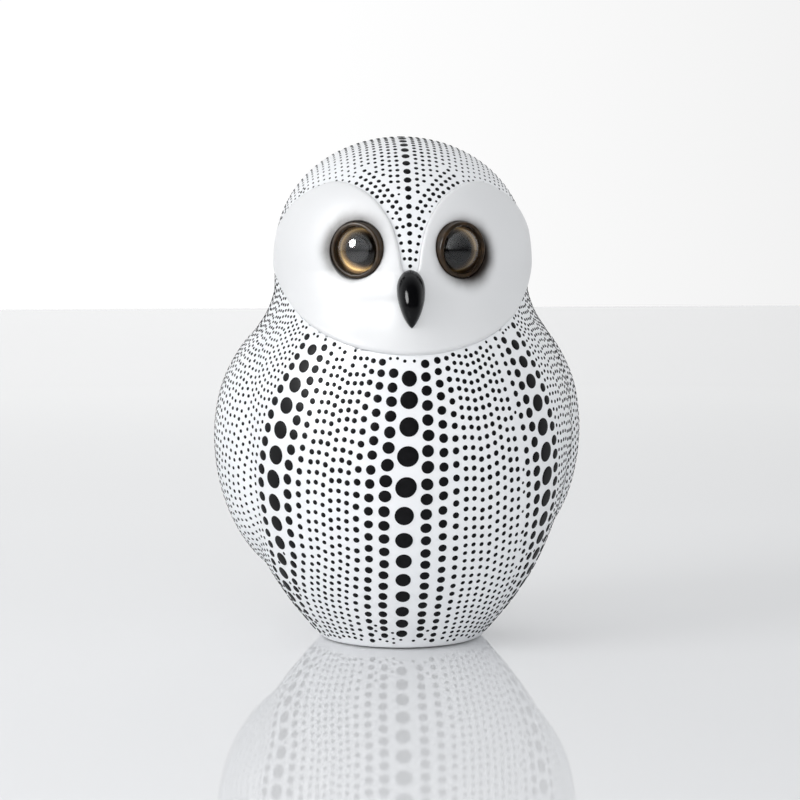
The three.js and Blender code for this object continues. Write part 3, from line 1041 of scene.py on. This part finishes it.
def set_fine_column(line, size, pitch):
    def own_size(z):
        return size * SWELL(z) ** FINE_POWER

    march(
        line, min(random.randrange(200, 260), len(line) - 1), own_size,
        gap=lambda z: pitch * CLOSE(z) - own_size(z),
        least=lambda z: FINE_LEAST * CLOSE(z),
        loose=FINE_LOOSE,
    )


for step in range(FINE_COLUMNS):
    for side in (-1, 1):
        set_fine_column(column(side * (FINE_FIRST + step * FINE_STEP)), FINE_SIZE, FINE_PITCH)
for step in range(OUTER_COLUMNS):
    for side, main in SIDE_MAINS.items():
        offset = side * (main + OUTER_FIRST + step * OUTER_STEP)
        set_fine_column(column(offset, top=SIDE_TOP), WING_SIZE, WING_PITCH)
        offset = side * (FINE_FIRST + step * OUTER_STEP)
        set_fine_column(column(offset, True, BACK_FINE_TOP), BACK_SIZE, WING_PITCH)
print("with the fine columns:", len(drops))

# %% Small drops where a gap is left
FILL_STEP, FILL_LOWEST, FILL_HIGHEST = 0.9, 4, 198
FILL_SIZE, FILL_GAP = 1.35, 1.35
HEAD_FILL_FROM, HEAD_FILL_SIZE, HEAD_FILL_GAP = 150, 1.0, 1.15
BESIDE_FROM, BESIDE_CLEAR = 3.4, 3.4


def beside_large(point):
    return any(
        other.size > BESIDE_FROM and (other.point - point).length < other.size / 2 + BESIDE_CLEAR
        for other in neighbours(point)
    )


places = []
for z in np.arange(FILL_LOWEST, FILL_HIGHEST, FILL_STEP):
    around = round(2 * math.pi * near_level(z).half_width / FILL_STEP)
    places += [over_skin(2 * math.pi * i / around, z) for i in range(around)]
random.shuffle(places)
for point, normal in laid_on_skin(places):
    on_head = point.z > HEAD_FILL_FROM
    size = (HEAD_FILL_SIZE if on_head else FILL_SIZE) * varied(0.1)
    gap = HEAD_FILL_GAP if on_head else FILL_GAP * CLOSE(point.z)
    if is_free(point, normal, size, gap) and not beside_large(point):
        set_drop(point, normal, size)
print("drops in all:", len(drops))

# %% [markdown]
# ## From places to enamel
# A drop is modelled once in each of three grades, turned like the eye pieces: a fine one
# with few faces, because there are thousands of it, and two richer ones. Each is a closed
# cushion with a rounded shoulder, whose underside sinks a little into the lacquer. The
# larger drops are wrapped onto the curve of the body point by point.

# %% Model one drop of each grade
SUNK = -0.12
SHOULDER_HEIGHT = 0.93
MIDDLING_FROM, LARGE_FROM = 2.15, 4.6
DROP_HEIGHT, DROP_SWELL, SWELL_UP_TO = 0.13, 0.045, 3.5
OVAL = 0.035


def cushion(name, shoulder, sides):
    """A drop of radius 1 and height 1, as its corners and the faces between them."""
    profile = [(0, SUNK), (0.98, SUNK), (1, 0)] + shoulder + [(0, 1)]
    piece = turned(name, profile, sides, Matrix.Identity(4))
    corners = np.array([vertex.co for vertex in piece.data.vertices]) / MM
    faces = [tuple(polygon.vertices) for polygon in piece.data.polygons]
    bpy.data.objects.remove(piece)
    return corners, faces


def rounded_shoulder(reach, steps):
    turns = np.linspace(0, math.pi / 2, steps + 1)[1:]
    return [(1 - reach * (1 - math.cos(t)), math.sin(t) * SHOULDER_HEIGHT) for t in turns]


GRADES = {
    "fine": cushion("drop_fine", [(0.72, 0.86)], 10),
    "middling": cushion("drop_middling", rounded_shoulder(0.2, 2), 18),
    "large": cushion("drop_large", rounded_shoulder(0.09, 3) + [(0.5, 0.98)], 36),
}


def grade_of(size):
    if size < MIDDLING_FROM:
        return "fine"
    return "middling" if size < LARGE_FROM else "large"


def wrapped(drop):
    """The corners of one drop, in millimetres, and the faces between them."""
    corners, faces = GRADES[grade_of(drop.size)]
    height = DROP_HEIGHT + DROP_SWELL * min(drop.size, SWELL_UP_TO)
    across = drop.normal.orthogonal().normalized()
    up = drop.normal.cross(across)
    turn = random.uniform(0, 2 * math.pi)
    oval = varied(OVAL)
    first = (across * math.cos(turn) + up * math.sin(turn)) * drop.size / 2 * oval
    second = (up * math.cos(turn) - across * math.sin(turn)) * drop.size / 2 / oval
    flat = np.outer(corners[:, 0], first) + np.outer(corners[:, 1], second) + np.array(drop.point)
    heights = np.where(corners[:, 2] < 0, corners[:, 2], corners[:, 2] * height)
    if grade_of(drop.size) == "fine":
        return flat + np.outer(heights, drop.normal), faces
    placed = []
    for corner, rise in zip(flat, heights):
        location, normal, _, _ = skin.find_nearest(Vector(corner) * MM)
        placed.append(np.array(location) / MM + np.array(normal) * rise)
    return np.array(placed), faces


# %% Join them into a few pieces by where they stand
HEAD_FROM = 146.0


def region_of(drop):
    if grade_of(drop.size) == "large":
        return "columns"
    point = drop.point
    if point.z > HEAD_FROM:
        return "head"
    azimuth = math.atan2(point.x / WIDTH * 2, -point.y / DEPTH_FRONT)
    if wing_inside(azimuth, near_level(point.z)) > 0:
        return "wing_left" if point.x > 0 else "wing_right"
    return "chest" if point.y < 0 else "back"


def enamel_piece(name, members):
    corners, faces, count = [], [], 0
    for drop in members:
        own_corners, own_faces = wrapped(drop)
        corners.append(own_corners)
        faces += [tuple(count + i for i in face) for face in own_faces]
        count += len(own_corners)
    mesh = bpy.data.meshes.new(name)
    mesh.from_pydata((np.vstack(corners) * MM).tolist(), [], faces)
    piece = bpy.data.objects.new(name, mesh)
    bpy.context.scene.collection.objects.link(piece)
    smooth(piece, 75)
    return piece


regions = {}
for drop in drops:
    regions.setdefault(region_of(drop), []).append(drop)
enamel = {name: enamel_piece(f"enamel_{name}", regions[name]) for name in sorted(regions)}
for name, piece in enamel.items():
    print("enamel on the", name + ":", len(regions[name]), "drops,", len(piece.data.polygons), "faces")

# %% [markdown]
# ## Finishes
# Most of the owl is sprayed lacquer. Up close it isn't one flat colour: the spray leaves a
# faint ripple like orange peel, a little mottle in the tone, and dust that dulls the shine
# in places. One shader group makes all three from noise in the piece's own coordinates, and
# each finish gives it its own amounts. The group puts out a colour, a roughness and a
# height, and the Principled shader stays in the material.

# %% Helpers for shader nodes
def feed(tree, socket, value):
    """Gives an input its value, or links it from the socket given."""
    if isinstance(value, bpy.types.NodeSocket):
        tree.links.new(value, socket)
    else:
        socket.default_value = value


def node(tree, kind, inputs=None, **settings):
    """Adds a node; an input is either a value or the socket to link from."""
    made = tree.nodes.new("ShaderNode" + kind)
    for key, value in settings.items():
        setattr(made, key, value)
    for key, value in (inputs or {}).items():
        feed(tree, made.inputs[key], value)
    return made


def maths(tree, operation, *values):
    return node(tree, "Math", dict(enumerate(values)), operation=operation).outputs[0]


def noise(tree, where, scale, detail=2.0):
    return node(tree, "TexNoise", {"Vector": where, "Scale": scale, "Detail": detail}).outputs["Fac"]


def mixed(tree, amount, first, second, blend="MIX"):
    """The first colour turned towards the second by an amount."""
    mix = node(tree, "Mix", {0: amount, 6: first, 7: second}, data_type="RGBA", blend_type=blend)
    return mix.outputs[2]


def mapped(tree, value, start, end, low, high, **settings):
    """A value that goes from low to high while another goes from start to end."""
    ends = {"From Min": start, "From Max": end, "To Min": low, "To Max": high}
    return node(tree, "MapRange", {"Value": value, **ends}, **settings).outputs["Result"]


def bump(tree, shader, height, strength, distance):
    lift = node(tree, "Bump", {"Height": height, "Strength": strength, "Distance": distance})
    feed(tree, shader.inputs["Normal"], lift.outputs["Normal"])


def object_place(tree):
    return node(tree, "TexCoord").outputs["Object"]


def new_group(name, inputs, outputs):
    tree = bpy.data.node_groups.new(name, "ShaderNodeTree")
    for socket, kind, value in inputs:
        made = tree.interface.new_socket(socket, in_out="INPUT", socket_type="NodeSocket" + kind)
        made.default_value = value
    for socket, kind in outputs:
        tree.interface.new_socket(socket, in_out="OUTPUT", socket_type="NodeSocket" + kind)
    return tree, tree.nodes.new("NodeGroupInput").outputs, tree.nodes.new("NodeGroupOutput").inputs


def placed_group(tree, group_tree, inputs):
    return node(tree, "Group", inputs, node_tree=group_tree).outputs


def new_material(name, **sockets):
    """A material with its Principled shader, whose constants go straight on its sockets."""
    material = bpy.data.materials.new(name)
    material.use_nodes = True
    shader = material.node_tree.nodes["Principled BSDF"]
    for key, value in sockets.items():
        shader.inputs[key.replace("_", " ")].default_value = value
    return material, material.node_tree, shader


# %% The group for sprayed finishes
DUST_SCALE = 2600.0

spray, given, out = new_group(
    "sprayed_finish",
    [
        ("Colour", "Color", (0.8, 0.8, 0.8, 1)),
        ("Shade", "Color", (0.7, 0.7, 0.7, 1)),
        ("Mottle", "Float", 0.3),
        ("Mottle Scale", "Float", 40.0),
        ("Roughness", "Float", 0.35),
        ("Dust", "Float", 0.1),
        ("Ripple Scale", "Float", 650.0),
    ],
    [("Colour", "Color"), ("Roughness", "Float"), ("Height", "Float")],
)
where = object_place(spray)
broad = noise(spray, where, given["Mottle Scale"], 4.0)
spread = mapped(spray, broad, 0.35, 0.7, 0.0, 1.0)
amount = maths(spray, "MULTIPLY", spread, given["Mottle"])
dust = maths(spray, "MULTIPLY", noise(spray, where, DUST_SCALE), broad)
feed(spray, out["Colour"], mixed(spray, amount, given["Colour"], given["Shade"]))
feed(spray, out["Roughness"], maths(spray, "MULTIPLY_ADD", dust, given["Dust"], given["Roughness"]))
feed(spray, out["Height"], noise(spray, where, given["Ripple Scale"]))


def sprayed(name, colour, shade, mottle, roughness, dust, ripple, specular):
    """A sprayed material: mottle is (amount, scale), ripple is (scale, height in metres)."""
    material, tree, shader = new_material(name, Specular_IOR_Level=specular)
    finish = {
        "Colour": (*colour, 1), "Shade": (*shade, 1), "Mottle": mottle[0], "Mottle Scale": mottle[1],
        "Roughness": roughness, "Dust": dust, "Ripple Scale": ripple[0],
    }
    made = placed_group(tree, spray, finish)
    feed(tree, shader.inputs["Base Color"], made["Colour"])
    feed(tree, shader.inputs["Roughness"], made["Roughness"])
    bump(tree, shader, made["Height"], 0.5, ripple[1])
    return material


def wear(piece, material):
    """Gives a piece its material and its body."""
    piece.data.materials.clear()
    piece.data.materials.append(material)
    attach(piece, BODY)


# %% White lacquer, black enamel, and the beak
white_lacquer = sprayed(
    "white_lacquer", (0.92, 0.93, 0.945), (0.87, 0.885, 0.91), mottle=(0.5, 45.0),
    roughness=0.3, dust=0.25, ripple=(650.0, 0.00004), specular=0.45,
)
black_enamel = sprayed(
    "black_enamel", (0.0035, 0.0035, 0.0042), (0.008, 0.008, 0.0095), mottle=(0.8, 300.0),
    roughness=0.42, dust=0.3, ripple=(1200.0, 0.00003), specular=0.12,
)
beak_gloss = sprayed(
    "beak_gloss", (0.003, 0.003, 0.0035), (0.006, 0.006, 0.007), mottle=(0.6, 120.0),
    roughness=0.12, dust=0.12, ripple=(350.0, 0.00001), specular=0.16,
)
wear(body, white_lacquer)
for piece in enamel.values():
    wear(piece, black_enamel)
wear(beak, beak_gloss)
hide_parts("body_shell")
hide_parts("beak")

# %% [markdown]
# ## The airbrushed face
# The mask is a copy of the white lacquer, a little softer, and painted darker: the darker
# tone is painted shade, so the face reads less bright than the body. Round each eye it is
# airbrushed in a brown black that is dense at the rim and fades out over a few millimetres,
# and the maker's hand has left it wider on one side. The distance from the eye's axis gives
# that fade: a Mapping node turns the piece's coordinates into the eye's own frame, and noise
# makes the edge of the spray uneven.

# %% The airbrush group
def from_axis(tree, where, place, turn):
    """How far a point lies from an eye's axis, in metres."""
    in_eye = node(tree, "Mapping", {"Vector": where, "Location": place, "Rotation": turn})
    flat = node(tree, "VectorMath", {0: in_eye.outputs[0], 1: (1, 1, 0)}, operation="MULTIPLY")
    return node(tree, "VectorMath", {0: flat.outputs[0]}, operation="LENGTH").outputs["Value"]


CLOUD_SCALE, CLOUD_REACH = 160.0, 0.0016
FADE_POWER = 2.2

brush, given, out = new_group(
    "airbrush_ring",
    [
        ("Place", "Vector", (0, 0, 0)),
        ("Turn", "Vector", (0, 0, 0)),
        ("Dense", "Float", 0.0113),
        ("Faded", "Float", 0.016),
    ],
    [("Mask", "Float")],
)
where = object_place(brush)
reach = from_axis(brush, where, given["Place"], given["Turn"])
wobble = maths(brush, "MULTIPLY_ADD", noise(brush, where, CLOUD_SCALE, 3.0), CLOUD_REACH, reach)
fade = mapped(
    brush, wobble, given["Dense"], given["Faded"], 1.0, 0.0, interpolation_type="SMOOTHSTEP"
)
feed(brush, out["Mask"], maths(brush, "POWER", fade, FADE_POWER))


def into_frame(side, aside=(0, 0)):
    """Location and rotation for a Mapping node into an eye's frame, with its centre moved."""
    inverse = eye_frame(side).inverted()
    place = (inverse.translation - Vector((*aside, 0))) * MM
    return tuple(place), tuple(inverse.to_3x3().to_euler("XYZ"))


# %% The face lacquer
# For each side, how far the ring's centre is moved, and from where to where it fades.
HALOS = {-1: ((-2.1, 1.1), 0.0100, 0.0196), 1: ((2.0, -1.3), 0.0100, 0.0192)}
AIRBRUSHED = (0.018, 0.012, 0.009, 1)

# A copy of the white lacquer, painted darker as shade on the face.
face_lacquer = sprayed(
    "face_lacquer", (0.79, 0.795, 0.803), (0.75, 0.757, 0.768), mottle=(0.4, 30.0),
    roughness=0.36, dust=0.2, ripple=(500.0, 0.00003), specular=0.4,
)
tree = face_lacquer.node_tree
base_colour = tree.nodes["Principled BSDF"].inputs["Base Color"]
lacquered = base_colour.links[0].from_socket
masks = []
for side, (aside, dense, faded) in HALOS.items():
    place, turn = into_frame(side, aside)
    halo = placed_group(tree, brush, {"Place": place, "Turn": turn, "Dense": dense, "Faded": faded})
    masks.append(halo["Mask"])
feed(tree, base_colour, mixed(tree, maths(tree, "MAXIMUM", *masks), lacquered, AIRBRUSHED))
wear(mask, face_lacquer)
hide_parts("face_mask")

# %% [markdown]
# ## Eye finishes
# The rim is dark brown enamel. The iris is a stamped metal plate, lacquered bronze: nearly
# black at its edge, with one bright turned ring and fine scratches that run round it. The
# bright ring is partly the plate's own gold and partly painted light, the glow that the domed
# glass would focus on it. The glass is plain clear glass. A shadow ray passes it unbent, so
# the plate behind it is lit.

# %% The rim and the pupil
eye_rim = sprayed(
    "eye_rim_enamel", (0.018, 0.011, 0.006), (0.06, 0.035, 0.016), mottle=(0.9, 350.0),
    roughness=0.28, dust=0.2, ripple=(900.0, 0.00003), specular=0.3,
)
for word, pieces in eyes.items():
    wear(pieces["rim"], eye_rim)
    wear(pieces["pupil"], black_enamel)
    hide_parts(f"eye_rim_{word}")
    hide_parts(f"eye_pupil_{word}")

# %% The bronze plate
IRIS_BANDS_WITH_GLOW = [
    (0.44, (0.012, 0.007, 0.003)),
    (0.54, (0.05, 0.028, 0.01)),
    (0.62, (0.2, 0.12, 0.04)),
    # This brightest band is partly the plate's gold and partly painted light: the glow that the glass dome
    # focuses on the plate.
    (0.67, (0.46, 0.3, 0.11)),
    (0.72, (0.16, 0.09, 0.032)),
    (0.82, (0.075, 0.042, 0.016)),
    (0.92, (0.014, 0.008, 0.004)),
]


def bronze_plate(word, side):
    material, tree, shader = new_material(f"bronze_{word}", Metallic=0.75, Roughness=0.32)
    where = object_place(tree)
    radius = from_axis(tree, where, *into_frame(side))
    share = maths(tree, "DIVIDE", radius, GLASS_RADIUS * MM)
    bands = node(tree, "ValToRGB", {"Fac": share})
    ramp = bands.color_ramp
    for index, (at, colour) in enumerate(IRIS_BANDS_WITH_GLOW):
        stop = ramp.elements[index] if index < 2 else ramp.elements.new(at)
        stop.position = at
        stop.color = (*colour, 1)
    rings = node(
        tree, "TexNoise", {"W": share, "Scale": 60.0, "Detail": 2.0}, noise_dimensions="1D"
    )
    patina = noise(tree, where, 420.0, 4.0)
    patina_and_glow = mixed(tree, 0.35, bands.outputs["Color"], patina, blend="MULTIPLY")
    feed(tree, shader.inputs["Base Color"], patina_and_glow)
    feed(tree, shader.inputs["Roughness"], mapped(tree, patina, 0.0, 1.0, 0.22, 0.48))
    bump(tree, shader, rings.outputs["Fac"], 0.6, 0.00005)
    return material


# %% The glass
clear_glass, tree, shader = new_material(
    "clear_glass", Roughness=0.01, Transmission_Weight=1.0, IOR=1.52
)
shader.inputs["Base Color"].default_value = (0.98, 0.985, 0.98, 1)
smear = noise(tree, object_place(tree), 240.0)
feed(tree, shader.inputs["Roughness"], mapped(tree, smear, 0.0, 1.0, 0.0, 0.012))
passing = node(tree, "LightPath").outputs["Is Shadow Ray"]
unbent = node(tree, "BsdfTransparent")
either = node(tree, "MixShader", {0: passing, 1: shader.outputs["BSDF"], 2: unbent.outputs["BSDF"]})
feed(tree, tree.nodes["Material Output"].inputs["Surface"], either.outputs[0])

for side, word in ((-1, "right"), (1, "left")):
    pieces = eyes[word]
    wear(pieces["iris"], bronze_plate(word, side))
    wear(pieces["lens"], clear_glass)
    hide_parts(f"eye_iris_{word}")
    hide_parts(f"eye_lens_{word}")

# %% Foam and rubber
foam = sprayed(
    "pad_foam", (0.014, 0.014, 0.015), (0.035, 0.035, 0.037), mottle=(0.9, 1500.0),
    roughness=0.85, dust=0.2, ripple=(1400.0, 0.00025), specular=0.2,
)
rubber = sprayed(
    "grey_rubber", (0.06, 0.06, 0.063), (0.09, 0.09, 0.093), mottle=(0.6, 200.0),
    roughness=0.6, dust=0.4, ripple=(900.0, 0.00006), specular=0.3,
)
wear(pad, foam)
wear(plug, rubber)
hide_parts("base_pad")
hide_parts("base_plug")

# %% [markdown]
# ## The table, the light and the camera
# The owl stands on a glossy pale table in front of a white backdrop. One large soft light
# stands on the left, with a smaller one by it that only makes the glints, and another light
# stands before the owl. The white room fills the rest, but for shiny pieces it is dark in
# front, as it is behind a photographer, so they only mirror what lies beyond the owl. The
# table is a thick slab with a rounded edge.

# %% The table
TABLE_FAR, TABLE_NEAR, TABLE_SIDE, TABLE_THICK = 1.56, -1.6, 1.9, 0.04
deselect_all()
bpy.ops.mesh.primitive_cube_add(
    size=1, location=(0, (TABLE_FAR + TABLE_NEAR) / 2, -TABLE_THICK / 2),
    scale=(2 * TABLE_SIDE, TABLE_FAR - TABLE_NEAR, TABLE_THICK),
)
table = named("table_top")
bpy.ops.object.transform_apply(location=True, scale=True)
apply_modifier(table, "BEVEL", width=0.012, segments=5)
smooth(table, 35)
table_gloss = sprayed(
    "table_gloss", (0.86, 0.867, 0.88), (0.835, 0.843, 0.857), mottle=(0.3, 3.0),
    roughness=0.035, dust=0.01, ripple=(20.0, 0.000002), specular=0.12,
)
table.data.materials.append(table_gloss)

# %% The backdrop
deselect_all()
bpy.ops.mesh.primitive_plane_add(size=1, location=(0, 3.0, 0.9), rotation=(math.pi / 2, 0, 0))
backdrop = named("backdrop")
backdrop.scale = (8, 4, 1)
bpy.ops.object.transform_apply(location=True, rotation=True, scale=True)
# The paper is not lit: it glows, and its glow is painted darker towards the right, as painted shade from
# the light on the left.
paper, tree, shader = new_material("glowing_white_paper", Roughness=0.9)
shader.inputs["Base Color"].default_value = (0.02, 0.02, 0.02, 1)
shader.inputs["Emission Color"].default_value = (1, 1, 1, 1)
across = node(tree, "SeparateXYZ", {0: object_place(tree)}).outputs["X"]
feed(tree, shader.inputs["Emission Strength"], mapped(tree, across, 0.0, 0.9, 1.0, 0.84))
backdrop.data.materials.append(paper)

# %% The lights
def stand(obj, azimuth, elevation, distance, aim):
    """Stands a light or the camera round the owl; azimuth 0 is straight before the beak."""
    turn, up = math.radians(azimuth), math.radians(elevation)
    away = Vector((math.sin(turn) * math.cos(up), -math.cos(turn) * math.cos(up), math.sin(up)))
    obj.location = Vector(aim) + away * distance
    obj.rotation_euler = away.to_track_quat("Z", "Y").to_euler()
    bpy.context.scene.collection.objects.link(obj)


def soft_light(name, azimuth, elevation, distance, size, power, **seen):
    """A round softbox, and which kinds of ray see it."""
    data = bpy.data.lights.new(name, "AREA")
    data.shape = "DISK"
    data.size = size
    data.energy = power
    light = bpy.data.objects.new(name, data)
    stand(light, azimuth, elevation, distance, aim=(0, 0, 0.1))
    for kind, is_seen in seen.items():
        setattr(light, "visible_" + kind, is_seen)


soft_light("key_light", -60, 21, 1.3, 0.75, 6.2, glossy=False, transmission=False)
soft_light("key_glint", -60, 23, 1.2, 0.6, 22.0, diffuse=False, transmission=False)
soft_light("front_fill", 8, 1, 1.5, 1.0, 8.5, glossy=False, transmission=False)

# %% The room
ROOM_LIGHT = 0.62
world = bpy.data.worlds.new("white_room")
bpy.context.scene.world = world
world.use_nodes = True
tree = world.node_tree
room = tree.nodes["Background"].inputs
room["Color"].default_value = (0.97, 0.985, 1.0, 1)
depth = node(tree, "SeparateXYZ", {0: node(tree, "TexCoord").outputs["Generated"]}).outputs["Y"]
behind = mapped(tree, depth, -0.35, 0.45, 0.0, 1.15)
glossy = node(tree, "LightPath").outputs["Is Glossy Ray"]
feed(tree, room["Strength"], mapped(tree, glossy, 0.0, 1.0, ROOM_LIGHT, behind))
world.cycles_visibility.transmission = False
bpy.context.scene.view_settings.view_transform = "Standard"

# %% The camera
lens = bpy.data.cameras.new("view")
lens.lens = 146.3
lens.sensor_width = 36
lens.clip_start = 0.05
camera = bpy.data.objects.new("view", lens)
stand(camera, azimuth=-3.5, elevation=6.5, distance=1.3, aim=(-0.0004, 0, 0.0951))
bpy.context.scene.camera = camera
